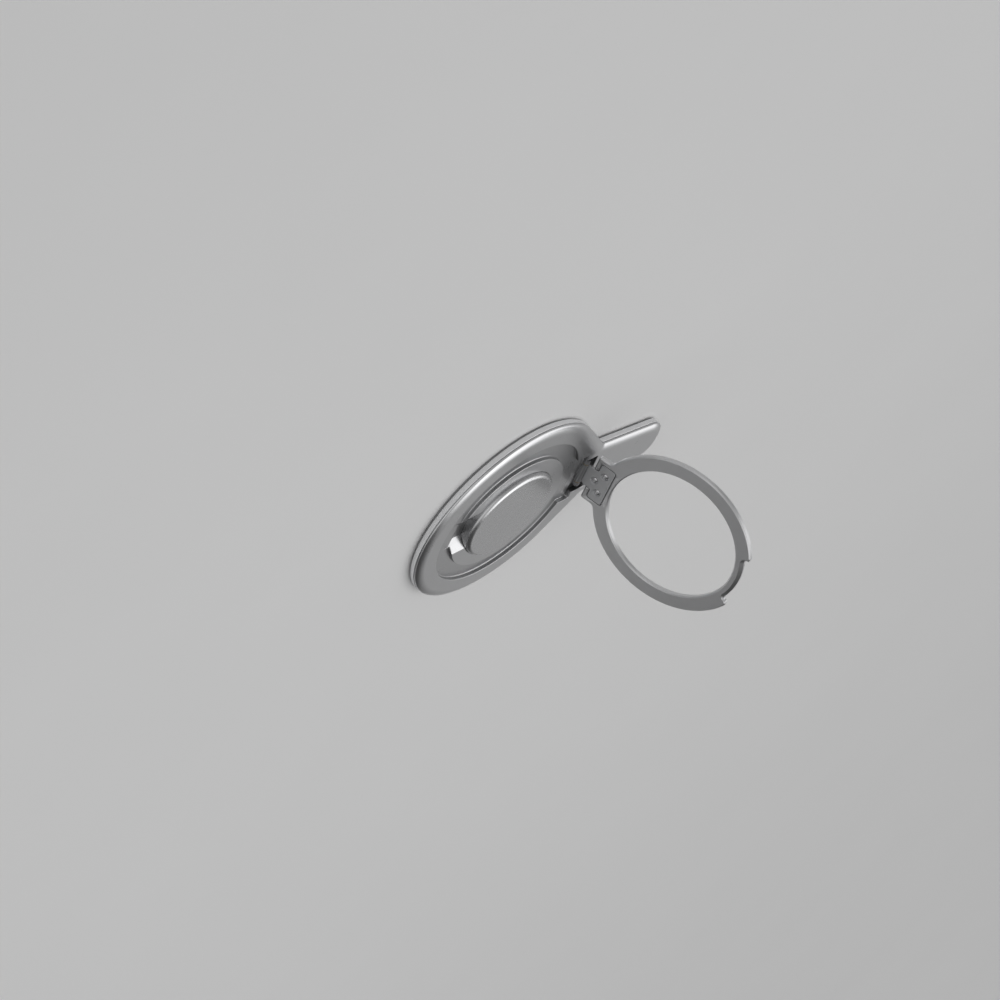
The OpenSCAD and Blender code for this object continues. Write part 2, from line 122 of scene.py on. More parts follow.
def softened(corners, radii, step=15.0):
    """A closed outline whose corners are rounded. A corner P between the unit vectors u and v
    to its neighbours, which open by f, gets the circle with its centre at
    P + r / sin(f/2) along u + v, from the point r / tan(f/2) along u to the one along v."""
    corners = np.asarray(corners, float)
    previous, following = np.roll(corners, 1, 0), np.roll(corners, -1, 0)
    parts = []
    for p, before, after, r in zip(corners, previous, following, radii):
        if r == 0:
            parts.append(p[None])
            continue
        u = (before - p) / np.linalg.norm(before - p)
        v = (after - p) / np.linalg.norm(after - p)
        opening = math.acos(np.clip(u @ v, -1, 1))
        centre = p + (u + v) / np.linalg.norm(u + v) * r / math.sin(opening / 2)
        reach = r / math.tan(opening / 2)
        start, end = (
            math.degrees(math.atan2(*(p + side * reach - centre)[::-1])) for side in (u, v))
        parts.append(arc(centre, r, start, start + (end - start + 180) % 360 - 180, step))
    return np.concatenate(parts)


def bands(rows, count, ring=False):
    """The quads between neighbouring rows of a grid, whose rows are closed loops of count
    points. With ring, the last row joins the first."""
    row = np.arange(rows if ring else rows - 1)[:, None]
    column = np.arange(count)
    near, far = row * count, (row + 1) % rows * count
    beside = (column + 1) % count
    quads = np.stack([near + column, near + beside, far + beside, far + column], axis=-1)
    return quads.reshape(-1, 4).tolist()


def stacked(loops, heights):
    """Points and faces of a solid over loops (x, y) at given heights, one flat face at each
    end. A height may differ along its loop."""
    count = len(loops[0])
    rows = [np.column_stack([loop, np.broadcast_to(z, count)]) for loop, z in zip(loops, heights)]
    last = (len(rows) - 1) * count
    ends = [list(range(count)), list(range(last, last + count))]
    return np.concatenate(rows), bands(len(rows), count) + ends


def solid(name, points, faces):
    """A closed mesh object from points in millimetres. Points in one place are merged, which
    closes poles, and the faces are turned outwards."""
    mesh = bpy.data.meshes.new(name)
    mesh.from_pydata((points * MM).tolist(), [], faces)
    form = bmesh.new()
    form.from_mesh(mesh)
    bmesh.ops.remove_doubles(form, verts=form.verts, dist=1e-4 * MM)
    loose = [edge for edge in form.edges if not edge.link_faces]
    bmesh.ops.delete(form, geom=loose, context="EDGES")
    bmesh.ops.recalc_face_normals(form, faces=form.faces)
    form.to_mesh(mesh)
    form.free()
    made = bpy.data.objects.new(name, mesh)
    bpy.context.scene.collection.objects.link(made)
    return made


class Value:
    """A socket of a node tree. Python's operators on it add Math nodes."""

    def __init__(self, tree, socket=None):
        self.tree = tree
        self.socket = socket

    def node(self, kind, settings=None, inputs=None, output=0):
        """Adds a node of a type: its settings are set first, such as a Math node's operation,
        then the values or links of its sockets."""
        made = self.tree.nodes.new(kind)
        for name, setting in (settings or {}).items():
            setattr(made, name, setting)
        for name, value in (inputs or {}).items():
            if isinstance(value, Value):
                self.tree.links.new(value.socket, made.inputs[name])
            else:
                made.inputs[name].default_value = value
        return Value(self.tree, made.outputs[output] if len(made.outputs) else None)

    def maths(self, operation, *terms):
        return self.node("ShaderNodeMath", {"operation": operation}, dict(enumerate(terms)))

    def __add__(self, other):
        return self.maths("ADD", self, other)

    def __sub__(self, other):
        return self.maths("SUBTRACT", self, other)

    def __rsub__(self, other):
        return self.maths("SUBTRACT", other, self)

    def __mul__(self, other):
        return self.maths("MULTIPLY", self, other)

    def __abs__(self):
        return self.maths("ABSOLUTE", self)

    __radd__ = __add__
    __rmul__ = __mul__

    def between(self, low, high):
        """Rises smoothly from 0 at low to 1 at high."""
        return self.node(
            "ShaderNodeMapRange", {"interpolation_type": "SMOOTHSTEP"},
            {"Value": self, "From Min": low, "From Max": high})

    def blend(self, low, high):
        """The colour low where this is 0, and high where it is 1."""
        return self.node(
            "ShaderNodeMix", {"data_type": "RGBA"},
            {"Factor": self, "A": (*low, 1), "B": (*high, 1)}, output=2)


def place_on(tree, across=1.0, along=(1, 1, 1)):
    """Object coordinates in units of across millimetres, stretched by a factor per axis."""
    start = Value(tree)
    coordinates = start.node("ShaderNodeTexCoord", output=3)
    scale = tuple(factor / (across * MM) for factor in along)
    return start.node("ShaderNodeMapping", None, {"Vector": coordinates, "Scale": scale})


def speckle(tree, across, detail=2.0, along=(1, 1, 1)):
    """Noise from 0 to 1 whose grains are about across millimetres wide."""
    vector = place_on(tree, across, along)
    return vector.node(
        "ShaderNodeTexNoise", {"noise_dimensions": "3D"},
        {"Vector": vector, "Scale": 1.0, "Detail": detail, "Roughness": 0.55})


def material(name, colour, roughness, height, constants):
    """A Principled material. Colour, roughness and height are functions of its node tree, the
    height is in millimetres and feeds a Bump node, and constants are set on their sockets."""
    made = bpy.data.materials.new(name)
    made.use_nodes = True
    tree = made.node_tree
    tree.nodes.clear()
    colour, roughness, height = colour(tree), roughness(tree), height(tree)
    normal = height.node(
        "ShaderNodeBump", None, {"Height": height, "Strength": bump_strength, "Distance": MM})
    shader = normal.node(
        "ShaderNodeBsdfPrincipled", None,
        {"Base Color": colour, "Roughness": roughness, "Normal": normal, **constants})
    shader.node("ShaderNodeOutputMaterial", None, {"Surface": shader})
    return made


def dress(piece, finish, body, slot, *nodes):
    """Gives a new piece its material, smooth shading with crisp edges and its body, and hides
    the CAD nodes that it stands for. The slot is not used."""
    piece.data.materials.clear()
    piece.data.materials.append(finish)
    piece.data.shade_smooth()
    piece.data.set_sharp_from_angle(angle=sharp_angle)
    normals = piece.modifiers.new("flat faces stay flat", "WEIGHTED_NORMAL")
    normals.keep_sharp = True
    normals.weight = 100
    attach(piece, body)
    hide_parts(*nodes)


def edge_rounds(radius, low, high, inset):
    """Insets and heights of an upright edge from low to high, rounded at both ends."""
    turn = np.radians([0, 22.5, 45, 67.5, 90])
    insets = inset + radius * (1 - np.sin(turn))
    heights = low + radius * (1 - np.cos(turn))
    return [*insets, *insets[::-1]], [*heights, *(low + high - heights[::-1])]


pad_edge_r = 0.12
pad_inset = housing_r - pad_high[1]
pad_rubber = material(
    "pad rubber",
    lambda tree: speckle(tree, 0.35, detail=4).blend((0.24, 0.24, 0.245), (0.3, 0.3, 0.305)),
    lambda tree: 0.72 + speckle(tree, 0.9) * 0.12,
    lambda tree: speckle(tree, 0.16, detail=3) * 0.05,
    {"Specular IOR Level": 0.35, "Sheen Weight": 0.12, "Sheen Roughness": 0.5})
pad_insets, pad_heights = edge_rounds(pad_edge_r, pad_low[2], pad_high[2], pad_inset)
pad = solid("soft_face_pad", *stacked([outline(g) for g in pad_insets], pad_heights))
dress(pad, pad_rubber, "housing", "pad", "face_pad")


# Adhesive: a die-cut film of clear acrylic that bonds the pad to the tray. Only its edge
# could ever be seen, so the CAD film stays and takes a milky finish.
def finish_nodes(finish, names):
    """Gives carried-over CAD nodes a finish in place of their plain colour."""
    for name in names:
        mesh = frame["nodes"][name].data
        mesh.materials.clear()
        mesh.materials.append(finish)


film_clear = material(
    "adhesive film",
    lambda tree: speckle(tree, 2.5, detail=3).blend((0.62, 0.6, 0.5), (0.74, 0.72, 0.62)),
    lambda tree: 0.3 + speckle(tree, 1.2) * 0.15,
    lambda tree: speckle(tree, 0.8) * 0.02,
    {"Coat Weight": 0.3, "Coat Roughness": 0.2})
finish_nodes(film_clear, ["pad_adhesive"])


# Base tray: the lower half of the housing, milled from aluminium, blasted and anodised. It
# is an open dish whose wall the upper shell drops into, which leaves the parting line.
tray_floor = 0.3
tray_wall = 1.35
tray_edge_r = 0.18
tray_lip_r = 0.05

bare_metal = {"Metallic": 1.0, "Specular IOR Level": 0.5}
anodised_tint = (0.985, 0.988, 1)


def aluminium(name, low, high, gloss, grain=0.1, depth=0.006, shade=lambda tree: 1.0):
    """Blasted and anodised aluminium: a fine peened grain in the surface, a slow cloud in
    the colour, and gloss that wanders a little with both. Its greys run from low to high,
    and shade, a painted shade where a piece gives one, scales them from place to place."""
    def colour(tree):
        cloud = speckle(tree, 7) * 0.7 + speckle(tree, grain * 2, detail=1) * 0.3
        return ((cloud * (high - low) + low) * shade(tree)).blend((0, 0, 0), anodised_tint)

    def roughness(tree):
        return gloss + speckle(tree, 4, detail=3) * 0.05 + speckle(tree, grain * 2.5) * 0.05

    return material(
        name, colour, roughness, lambda tree: speckle(tree, grain, detail=3) * depth, bare_metal)


tray_metal = aluminium("tray aluminium", 0.8, 0.85, gloss=0.3)
tray_turn = np.radians([90, 60, 30, 0])
tray_insets = [*(tray_edge_r * (1 - np.cos(tray_turn))), 0, tray_lip_r, tray_wall, tray_wall]
tray_heights = [
    *(tray_low[2] + tray_edge_r * (1 - np.sin(tray_turn))), tray_high[2] - tray_lip_r,
    tray_high[2], tray_high[2], tray_low[2] + tray_floor]
tray = solid("machined_tray", *stacked([outline(g) for g in tray_insets], tray_heights))
dress(tray, tray_metal, "housing", "tray_aluminium", "base_tray")


# Magnet array: sixteen nickel-plated arc magnets laid in a ring on the tray's floor, two
# plain ones in the tab, and stamped steel yokes on their backs that close the field.
def plated(name, low, high, gloss, along=(1, 1, 1)):
    """Plated or bare steel: fine scratches drawn out along one axis over a slow cloud."""
    def colour(tree):
        cloud = speckle(tree, 3, detail=3) * 0.6
        return (cloud + speckle(tree, 0.15, detail=1, along=along) * 0.4).blend(low, high)

    return material(
        name, colour,
        lambda tree: gloss + speckle(tree, 0.3, along=along) * 0.12,
        lambda tree: speckle(tree, 0.09, along=along) * 0.006, bare_metal)


array_magnets = sorted(name for name in frame["nodes"] if name.startswith("array_magnet_"))
nickel = plated("nickel plate", (0.58, 0.57, 0.54), (0.66, 0.65, 0.62), gloss=0.22)
zinc = plated(
    "zinc-plated yoke", (0.42, 0.43, 0.45), (0.5, 0.51, 0.53), gloss=0.34, along=(1, 0.12, 1))
finish_nodes(nickel, array_magnets + ["tab_magnet_1", "tab_magnet_2"])
finish_nodes(zinc, ["array_yoke", "tab_yoke"])


# Upper shell: one block of aluminium, milled with its shoulder, flat rim, ring channel,
# ledge, finger scoop and hinge cavity, then blasted and anodised. It drops into the tray.
shell_low, shell_high = span("top_shell")
cap_low, cap_high = span("centre_cap")
fit_gap = 0.05
lay_gap = 0.2
parting_h = 0.3
parting_depth = 0.25
shoulder_w = 2.3
rim_top = shell_high[2]
shell_base = tray_high[2] + parting_h
skirt_inset = tray_wall + fit_gap

channel_outer_r = 21.3
ledge_r = 16.65
channel_floor = rim_top - 1.05
channel_fillet = 0.25
channel_lip = 0.1
cap_seam_lip = 0.1
scoop_half_w = 6.5
scoop_floor_half_w = 2.45
scoop_floor = rim_top - 1.75
scoop_start_x = -ledge_r - 0.1
scoop_lip_r = 0.5
scoop_floor_r = 0.3
slot_x = (17.5, 23.5)
slot_half_w = 7.55
cavity_x = (23.1, 27.7)
cavity_half_w = 5.57
pocket_corner_r = 0.4
pocket_fillet = 0.1

# A cutter stands a hair over the face that it opens, and reaches well clear of the piece.
hair = 0.002
clear_of = 1.0
over = rim_top + hair


def turned(section, step=1.5):
    """Points and faces of a solid of revolution about Z: each point (r, z) of the closed
    section goes round as (r cos a, r sin a, z)."""
    around = direction(np.arange(0, 360, step))
    section = np.asarray(section)
    flat = section[:, 0, None, None] * around
    heights = np.broadcast_to(section[:, 1, None, None], (*flat.shape[:2], 1))
    points = np.concatenate([flat, heights], axis=-1).reshape(-1, 3)
    return points, bands(len(section), len(around), ring=True)


def circle(centre, radius, start=0):
    """24 points all round a circle, the first one at the angle start."""
    return arc(centre, radius, start, start + 345, 15)


def rectangle(x, half_w):
    """The corners of a rectangle that is symmetric about the X axis."""
    return np.array([(x[0], -half_w), (x[1], -half_w), (x[1], half_w), (x[0], half_w)])


def sunk(x, half_w, floor):
    """Points and faces of a cutter for a pocket: a rounded rectangle whose wall rises from a
    filleted floor and flares out over the pocket's rounded upper edge, by quarter circles."""
    fillet, lip = pocket_fillet, channel_lip
    floor_turn = np.radians([0, 30, 60, 90])
    lip_turn = np.radians([0, 22.5, 45, 67.5, 90])
    grown = [
        *(-fillet * (1 - np.sin(floor_turn))), *(lip * (1 - np.cos(lip_turn))),
        lip + clear_of, lip + clear_of]
    heights = [
        *(floor + fillet * (1 - np.cos(floor_turn))), *(over - lip + lip * np.sin(lip_turn)),
        over, over + clear_of]
    return stacked([
        softened(rectangle((x[0] - g, x[1] + g), half_w + g), [pocket_corner_r + g] * 4)
        for g in grown], heights)


def carve(piece, operation, tools):
    """Exact Booleans: cuts the tools out of a piece or joins them to it, one after another,
    and keeps only the resulting mesh."""
    for tool in tools:
        step = piece.modifiers.new("carve", "BOOLEAN")
        step.solver = "EXACT"
        step.operation = operation
        step.object = tool
    graph = bpy.context.evaluated_depsgraph_get()
    shape = bpy.data.meshes.new_from_object(piece.evaluated_get(graph))
    piece.modifiers.clear()
    piece.data = shape
    for tool in tools:
        bpy.data.objects.remove(tool)


shoulder_turn = np.radians(np.arange(0, 91, 7.5))
shell_insets = [
    skirt_inset, skirt_inset, parting_depth, parting_depth,
    *(shoulder_w * (1 - np.cos(shoulder_turn)))]
shell_heights = [
    shell_low[2], tray_high[2], tray_high[2], shell_base,
    *(shell_base + (rim_top - shell_base) * np.sin(shoulder_turn))]
shell = solid("machined_shell", *stacked([outline(g) for g in shell_insets], shell_heights))

bore_r = cap_high[1] + fit_gap
scoop_end = scoop_half_w + 2 * clear_of
channel_tool = solid("channel tool", *turned(softened(
    [(ledge_r - clear_of, over + clear_of), (ledge_r - clear_of, over), (ledge_r, over),
     (ledge_r, channel_floor), (channel_outer_r, channel_floor), (channel_outer_r, over),
     (channel_outer_r + clear_of, over), (channel_outer_r + clear_of, over + clear_of)],
    [0, 0, channel_lip, channel_fillet, channel_fillet, channel_lip, 0, 0])))
bore_tool = solid("bore tool", *turned(softened(
    [(0, -clear_of), (bore_r, -clear_of), (bore_r, over), (bore_r + clear_of, over),
     (bore_r + clear_of, over + clear_of), (0, over + clear_of)],
    [0, 0, cap_seam_lip, 0, 0, 0])))
scoop_section = softened(
    [(-scoop_end, over + clear_of), (-scoop_end, over), (-scoop_half_w, over),
     (-scoop_floor_half_w, scoop_floor), (scoop_floor_half_w, scoop_floor),
     (scoop_half_w, over), (scoop_end, over), (scoop_end, over + clear_of)],
    [0, 0, scoop_lip_r, scoop_floor_r, scoop_floor_r, scoop_lip_r, 0, 0], step=6)
scoop_points, scoop_faces = stacked([scoop_section] * 2, [scoop_start_x, 0])
scoop_tool = solid("scoop tool", scoop_points[:, [2, 0, 1]], scoop_faces)
slot_tool = solid("slot tool", *sunk(slot_x, slot_half_w, channel_floor))
cavity_tool = solid("cavity tool", *sunk(cavity_x, cavity_half_w, 0))
carve(shell, "DIFFERENCE", [channel_tool, bore_tool, scoop_tool, slot_tool, cavity_tool])

bracket_t = 0.35
screw_r = 0.57
array_wall = 0.4
pocket_r = (channel_outer_r + array_wall, housing_r - tray_wall)
pocket_top = span("array_yoke")[1][2] + lay_gap / 2
pocket_ends = [math.degrees(math.asin((slot_half_w + lay_gap) / r)) for r in pocket_r]
tab_low = span("tab_magnet_1")[0]
tab_high = span("tab_magnet_2")[1]
bracket_low, bracket_high = span("hinge_bracket")
screw_low, screw_high = span("bracket_screws")
screw_head_r = (screw_high[0] - screw_low[0]) / 2
array_loop = np.concatenate([
    arc([0, 0], pocket_r[1], pocket_ends[1], 360 - pocket_ends[1]),
    arc([0, 0], pocket_r[0], 360 - pocket_ends[0], pocket_ends[0])])
tab_loop = rectangle((tab_low[0] - 2 * lay_gap, tab_high[0] + lay_gap / 2), tab_high[1] + lay_gap)
bracket_loop = rectangle((slot_x[1], bracket_high[0] + lay_gap), bracket_high[1] + lay_gap)
bracket_top = bracket_low[2] + bracket_t + fit_gap
screw_top = screw_high[2] + lay_gap / 2
screw_loops = [
    circle((screw_low[0] + screw_head_r, side * (screw_high[1] - screw_head_r)), screw_r)
    for side in (-1, 1)]
pockets = [
    (array_loop, pocket_top), (tab_loop, pocket_top), (bracket_loop, bracket_top),
    *((loop, screw_top) for loop in screw_loops)]
carve(shell, "DIFFERENCE", [
    solid("pocket", *stacked([loop] * 2, [0, top])) for loop, top in pockets])

# Painted shade: how far the shell's colour is darkened on the ring channel's floor and walls, in
# the hinge's cavity and in the parting line, and the widths of its fades.
floor_dark = 0.13
wall_dark = 0.32
pit_dark = 0.55
parting_dark = 0.4
fade = 0.3
margin = 0.05
parting_fade = 0.04


def axes(tree):
    """The x, y and z of the place on the piece, in millimetres."""
    place = place_on(tree)
    return [
        place.node("ShaderNodeSeparateXYZ", None, {"Vector": place}, output=axis)
        for axis in range(3)]


def painted_recess_shade(tree):
    """Painted shade: darker where little light gets in, in the ring channel, most on its walls,
    in the hinge's cavity and in the parting line. Each is a product of smooth steps."""
    flat = place_on(tree, along=(1, 1, 0))
    radius = flat.node("ShaderNodeVectorMath", {"operation": "LENGTH"}, {0: flat}, output=1)
    x, y, z = axes(tree)
    below = 1 - z.between(rim_top - fade - margin, rim_top - margin)
    channel = radius.between(ledge_r - fade, ledge_r - margin) * (
        1 - radius.between(channel_outer_r + margin, channel_outer_r + fade))
    wall = z.between(channel_floor + margin, channel_floor + fade)
    pit = x.between(slot_x[1] - fade, slot_x[1]) * (
        1 - x.between(cavity_x[1], cavity_x[1] + fade)) * (
        1 - abs(y).between(slot_half_w, slot_half_w + fade))
    parting = radius.between(channel_outer_r + 2, channel_outer_r + 2.5) * (
        z.between(tray_high[2] - margin * 2, tray_high[2])) * (
        1 - z.between(shell_base - parting_fade, shell_base))
    channel_shade = 1 - channel * below * (wall * wall_dark + floor_dark)
    return channel_shade * (1 - parting * parting_dark) * (1 - pit * below * pit_dark)


# The shell's colour carries painted shade in the ring channel, the hinge's cavity and the parting
# line.
shell_metal = aluminium("shell aluminium", 0.65, 0.69, gloss=0.24, shade=painted_recess_shade)
dress(shell, shell_metal, "housing", "shell_aluminium", "top_shell")


# Centre cap: a turned aluminium cup, hollow below, pressed into the shell's bore. Its crown
# is flat with a rounded, polished edge, and a fine seam shows round its foot.
cap_r = cap_high[1]
cap_edge_r = 1.0
cap_wall = 0.9
cap_crown_t = 1.1
cap_roof = cap_high[2] - cap_crown_t
side_dark = 0.35
cap = solid("turned_cap", *turned(softened(
    [(cap_r - cap_wall, cap_low[2]), (cap_r, cap_low[2]), (cap_r, cap_high[2]),
     (0, cap_high[2]), (0, cap_roof), (cap_r - cap_wall, cap_roof)],
    [0, 0, cap_edge_r, 0, 0, 0], step=7.5)))


def painted_cap_side_shade(tree):
    """Painted shade: darker on the cap's side, below its polished edge."""
    return 1 - (1 - axes(tree)[2].between(rim_top, cap_high[2] - cap_edge_r / 3)) * side_dark


# The cap's colour carries painted shade on its side, below the polished edge.
cap_metal = aluminium(
    "cap aluminium", 0.68, 0.71, gloss=0.22, grain=0.07, depth=0.003, shade=painted_cap_side_shade)
dress(cap, cap_metal, "housing", "cap_aluminium", "centre_cap")


# Hinge: a bent steel bracket screwed up into the tab, a ground shaft with peened heads in
# its two ears, and a bronze spring washer each side that makes the friction.
bracket_steel = plated(
    "bracket steel", (0.36, 0.36, 0.37), (0.45, 0.45, 0.46), gloss=0.4, along=(0.15, 1, 1))
shaft_steel = plated(
    "ground shaft", (0.52, 0.52, 0.54), (0.62, 0.62, 0.64), gloss=0.25, along=(1, 0.1, 1))
black_oxide = plated("black oxide", (0.05, 0.05, 0.055), (0.09, 0.09, 0.095), gloss=0.42)
bronze = plated("spring bronze", (0.5, 0.4, 0.24), (0.62, 0.5, 0.32), gloss=0.35)
finish_nodes(bracket_steel, ["hinge_bracket"])
finish_nodes(shaft_steel, ["hinge_shaft"])
finish_nodes(black_oxide, ["bracket_screws"])
finish_nodes(bronze, ["hinge_washer_left", "hinge_washer_right"])


# Grip ring: cut from aluminium plate with a bevel on every edge, a wide root at the hinge
# and a notch at the tip for a fingernail, then finely blasted. It stands open at rest.
ring_inner_r = 16.9
ring_outer_r = 20.85
ring_t = 1.45
ring_bevel = 0.3
root_half_w = 7.1
root_fillet_r = 1.5
root_corner_r = 0.5
root_end_d = 2.35
notch_half_w = 7.6
notch_depth = 1.75
notch_corner_r = 0.9
notch_bevel_w = 0.8
notch_bevel_h = 0.5
long_step = 1.5
corner_step = 7.5
end_count = 8
probe = 0.01

opened = Matrix.Translation((hinge_x * MM, 0, hinge_z * MM)) @ Matrix.Rotation(
    math.radians(-hinge["range_deg"][0]), 4, "Y")
notch_r = ring_outer_r - notch_depth
notch_half = math.degrees(math.asin(notch_half_w / ring_outer_r))
notch_in = notch_half - math.degrees(math.asin(notch_corner_r / (notch_r + notch_corner_r)))
notch_out = notch_half + math.degrees(
    math.asin(notch_corner_r / (ring_outer_r - notch_corner_r)))
root_fillet_y = root_half_w + root_fillet_r
root_fillet_x = math.sqrt((ring_outer_r + root_fillet_r) ** 2 - root_fillet_y ** 2)
root_dir = math.degrees(math.atan2(root_fillet_y, root_fillet_x))
root_end_x = hinge_x - root_end_d
root_end_y = root_half_w - root_corner_r
root_y = root_end_y * np.arange(end_count - 0.5, 0, -1) / end_count


def from_tip(radius, angle):
    """A point at a radius and at an angle from the ring's tip, which lies at -X."""
    return radius * direction(180 - angle)


def ring_edge(inset, notch_inset):
    """The ring's outer edge, set in: notch floor, its concave and convex corners, the long
    outer arc, the fillet to the root, the root's corner and its straight end. The notch has an
    inset of its own, which changes to the other one along the concave corner."""
    r = notch_corner_r
    return mirrored(np.concatenate([
        arc([0, 0], notch_r - notch_inset, 180, 180 - notch_in, long_step),
        arc(from_tip(notch_r + r, notch_in), (r + notch_inset, r + inset),
            -notch_in, 90 - notch_half, corner_step),
        arc(from_tip(ring_outer_r - r, notch_out), r - inset,
            270 - notch_half, 180 - notch_out, corner_step),
        arc([0, 0], ring_outer_r - inset, 180 - notch_out, root_dir, long_step),
        arc([root_fillet_x, root_fillet_y], -(root_fillet_r + inset), root_dir, 90, corner_step),
        arc([root_end_x - root_corner_r, root_end_y],
            root_corner_r - inset, 90, 0, 2 * corner_step),
        np.column_stack([np.full(end_count, root_end_x - inset), root_y]),
    ]))


def ring_hole(radius):
    """The ring's inner edge, with a point for each point of the outer edge, in the same
    direction from the centre."""
    outer = ring_edge(0, 0)
    return radius * direction(np.degrees(np.arctan2(outer[:, 1], outer[:, 0])))


# How much of the notch's inset a point of the edge takes: 1 along the notch's floor, falling
# to 0 along its concave corner.
moved = np.linalg.norm(ring_edge(0, 0) - ring_edge(probe, 0), axis=1)
notch_share = 1 - np.clip(moved / probe, 0, 1)
bevel_height = ring_bevel + (notch_bevel_h - ring_bevel) * notch_share
ring_rows = [
    (ring_hole(ring_inner_r + ring_bevel), 0),
    (ring_edge(ring_bevel, notch_bevel_w), 0),
    (ring_edge(0, 0), bevel_height),
    (ring_edge(0, 0), ring_t - ring_bevel),
    (ring_edge(ring_bevel, ring_bevel), ring_t),
    (ring_hole(ring_inner_r + ring_bevel), ring_t),
    (ring_hole(ring_inner_r), ring_t - ring_bevel),
    (ring_hole(ring_inner_r), ring_bevel),
]
edge_count = len(ring_rows[0][0])
ring_points = np.concatenate(
    [np.column_stack([loop, np.broadcast_to(z, edge_count)]) for loop, z in ring_rows])
ring_faces = bands(len(ring_rows), edge_count, ring=True)
ring = solid("grip_ring_blasted", ring_points - [hinge_x, 0, 0], ring_faces)

leaf_t = 0.6
leaf_gap = 0.2
recess_clear = 0.02
recess_lip = 0.06
leaf_neck_half_w = 3.05
leaf_half_w = 5.65
leaf_wing_d = 3.7
leaf_end_d = 7.55
leaf_corner_r = 0.55


def leaf_plan(grow):
    """The leaf seen from above, grown: a neck from the hinge's axis, a concave corner, and
    the wings with their two outer corners. The leaf points to -X."""
    r = leaf_corner_r
    half = np.concatenate([
        [[0, 0], [0, leaf_neck_half_w + grow]],
        arc([leaf_wing_d - r, leaf_neck_half_w + r], r - grow, -90, 0, 2 * corner_step),
        arc([leaf_wing_d + r, leaf_half_w - r], r + grow, 180, 90, 2 * corner_step),
        arc([leaf_end_d - r, leaf_half_w - r], r + grow, 90, 0, 2 * corner_step),
    ])
    return mirrored(half) * [-1, 1]


recess_tool = solid("recess tool", *stacked(
    [leaf_plan(leaf_gap + g) for g in (0, 0, recess_lip / 3, recess_lip, recess_lip)],
    [leaf_t + recess_clear, recess_lip, recess_lip / 3, -hair, -clear_of]))
carve(ring, "DIFFERENCE", [recess_tool])
ring.data.transform(opened)
ring_metal = aluminium("ring aluminium", 0.62, 0.66, gloss=0.28, grain=0.13, depth=0.008)
dress(ring, ring_metal, "ring", "ring_aluminium", "grip_ring")


# Hinge leaf: stamped stainless sheet let into the ring's underside, its end rolled round the
# shaft. A slit shows where the roll comes back to the plate, and three rivets hold it.
knuckle_r = 0.85
shaft_r = 0.5
shaft_clear = 0.02
slit_end_d = 1.3
leaf_edge_r = 0.07
leaf_edge_mid = leaf_edge_r * 0.3
knuckle_start = 3
knuckle_half_w = leaf_neck_half_w - 0.02
head_t = leaf_t / 2
rivet_r = 0.95
rivet_d = (3.65, 5.5)
rivet_side = leaf_half_w / 2
rivet_places = [(rivet_d[0], 0), (rivet_d[1], rivet_side), (rivet_d[1], -rivet_side)]
seat_lip_r = 0.08


def along_axis(section, half_w):
    """Points and faces of a bar along the hinge's axis with the section (x, z)."""
    points, faces = stacked([np.asarray(section)] * 2, [-half_w, half_w])
    return points[:, [0, 2, 1]], faces


leaf = solid("leaf_plate", *stacked(
    [leaf_plan(-leaf_edge_r), leaf_plan(-leaf_edge_mid), leaf_plan(0), leaf_plan(0)],
    [0, leaf_edge_mid, leaf_edge_r, leaf_t]))
slit_tool = solid("slit tool", *along_axis(
    [(-slit_end_d, -clear_of), (clear_of, -clear_of), (clear_of, head_t), (-slit_end_d, head_t)],
    leaf_neck_half_w + clear_of))
knuckle = solid("knuckle", *along_axis(
    circle((0, 0), knuckle_r, knuckle_start), knuckle_half_w))
shaft_bore = solid("shaft bore", *along_axis(
    circle((0, 0), shaft_r + shaft_clear), leaf_neck_half_w + clear_of))
carve(leaf, "DIFFERENCE", [slit_tool])
carve(leaf, "UNION", [knuckle])
carve(leaf, "DIFFERENCE", [shaft_bore])
seat_points, seat_faces = turned(softened(
    [(0, -clear_of), (rivet_r + clear_of, -clear_of), (rivet_r + clear_of, -hair),
     (rivet_r + fit_gap, -hair), (rivet_r + fit_gap, head_t), (0, head_t)],
    [0, 0, 0, seat_lip_r, 0, 0]), step=corner_step)
carve(leaf, "DIFFERENCE", [
    solid("rivet seat", seat_points + [-away, side, 0], seat_faces)
    for away, side in rivet_places])
leaf.data.transform(opened)
leaf_steel = plated(
    "leaf stainless", (0.53, 0.535, 0.545), (0.6, 0.605, 0.615), gloss=0.3, along=(1, 0.2, 1))
dress(leaf, leaf_steel, "ring", "leaf_steel", "hinge_leaf")


# Leaf rivets: three steel rivets in the leaf's seats. Each head is a low dome that falls by
# the fourth power of its radius, just short of the leaf's face, with a groove round it.
crown_r = 0.7
crown_z = 0.015
crown_fall = 0.13
groove_inner_r = 0.76
groove_z = 0.27
rivet_length = 1.1
dome = np.linspace(0, crown_r, 7)
rivet_points, rivet_faces = turned([
    *zip(dome, crown_z + crown_fall * (dome / crown_r) ** 4), (groove_inner_r, groove_z),
    (rivet_r, groove_z), (rivet_r, head_t), (shaft_r, head_t), (shaft_r, rivet_length),
    (0, rivet_length)], step=corner_step)
rivets, *others = [
    solid("domed_rivets", rivet_points + [-away, side, 0], rivet_faces)
    for away, side in rivet_places]
carve(rivets, "UNION", others)
rivets.data.transform(opened)
rivet_steel = plated("rivet steel", (0.6, 0.6, 0.61), (0.68, 0.68, 0.69), gloss=0.2)
dress(rivets, rivet_steel, "ring", "rivet_steel", "leaf_rivets")


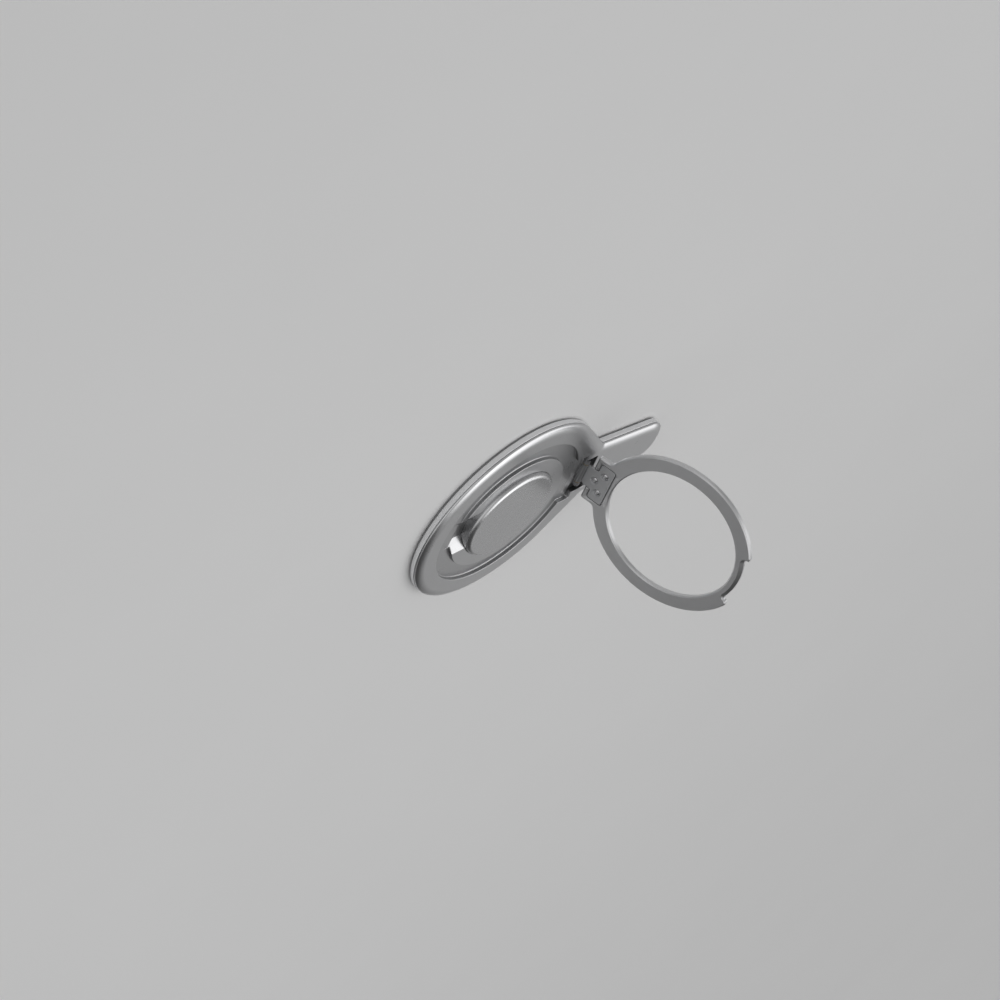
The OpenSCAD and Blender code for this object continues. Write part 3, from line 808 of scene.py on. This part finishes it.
# Studio: a plain pale floor that the mount lies on, a soft box overhead, and a soft
# room that is lighter to the left and overhead and dark on one side, so that the metal
# shows its turns. Each side of the room fades in between two cosines of the angle to it.
floor_half_w = 1200
box_w = 0.42
box_place = (-0.03, 0.04, 0.5)
box_power = 0.3
room_level = 0.37
light_level = 0.8
light_side = (-0.95, 0.28, -0.1)
light_fade = (0.5, 0.95)
dark_level = 0.06
dark_side = (-0.22, -0.85, 0.48)
dark_fade = (0.6, 0.9)
overhead_level = 1.5
overhead_side = (0.5, 0.05, 0.86)
overhead_fade = (0.74, 0.95)

floor_matt = material(
    "pale floor",
    lambda tree: speckle(tree, 60).blend((0.73, 0.73, 0.73), (0.75, 0.75, 0.75)),
    lambda tree: 0.8 + speckle(tree, 30) * 0.05,
    lambda tree: speckle(tree, 1.5) * 0.004,
    {"Specular IOR Level": 0.2})
floor_mesh = bpy.data.meshes.new("floor")
floor_mesh.from_pydata(
    [(x, y, 0) for x, y in rectangle((-floor_half_w, floor_half_w), floor_half_w) * MM],
    [], [[0, 1, 2, 3]])
floor_mesh.materials.append(floor_matt)
floor = bpy.data.objects.new("floor", floor_mesh)
bpy.context.scene.collection.objects.link(floor)

room = bpy.data.worlds.new("room")
room.use_nodes = True
room.node_tree.nodes.clear()
sky = Value(room.node_tree)
look = sky.node("ShaderNodeTexCoord")


def towards(side):
    """How nearly a direction of the room points to a side: their dot product."""
    return sky.node(
        "ShaderNodeVectorMath", {"operation": "DOT_PRODUCT"}, {0: look, 1: side}, output=1)


level = room_level + (light_level - room_level) * towards(light_side).between(*light_fade)
level = level + (dark_level - level) * towards(dark_side).between(*dark_fade)
level = level + (overhead_level - level) * towards(overhead_side).between(*overhead_fade)
glow = sky.node("ShaderNodeBackground", None, {"Color": (1, 1, 1, 1), "Strength": level})
sky.node("ShaderNodeOutputWorld", None, {"Surface": glow})
bpy.context.scene.world = room

softbox = bpy.data.lights.new("overhead box", "AREA")
softbox.size = box_w
softbox.energy = box_power
lamp = bpy.data.objects.new("overhead box", softbox)
lamp.location = box_place
bpy.context.scene.collection.objects.link(lamp)


# Camera: a long lens 0.86 m away and 20 degrees above the floor, rolled so that the tab
# points up to the right. Its place is in millimetres and its axes are unit vectors.
eye = np.array([-540.34, 609.52, 288.71])
right = np.array([0.69707, 0.31245, 0.64535])
up = np.array([0.35014, 0.63710, -0.68666])
forward = np.array([0.62570, -0.70461, -0.33470])
lens = bpy.data.cameras.new("camera")
lens.lens = 136.26
lens.sensor_width = 36
camera = bpy.data.objects.new("camera", lens)
turn = np.eye(4)
turn[:3, 0] = right
turn[:3, 1] = up
turn[:3, 2] = -forward
turn[:3, 3] = eye * MM
camera.matrix_world = Matrix(turn.tolist())
bpy.context.scene.collection.objects.link(camera)
bpy.context.scene.camera = camera
bpy.context.scene.view_settings.view_transform = "Standard"
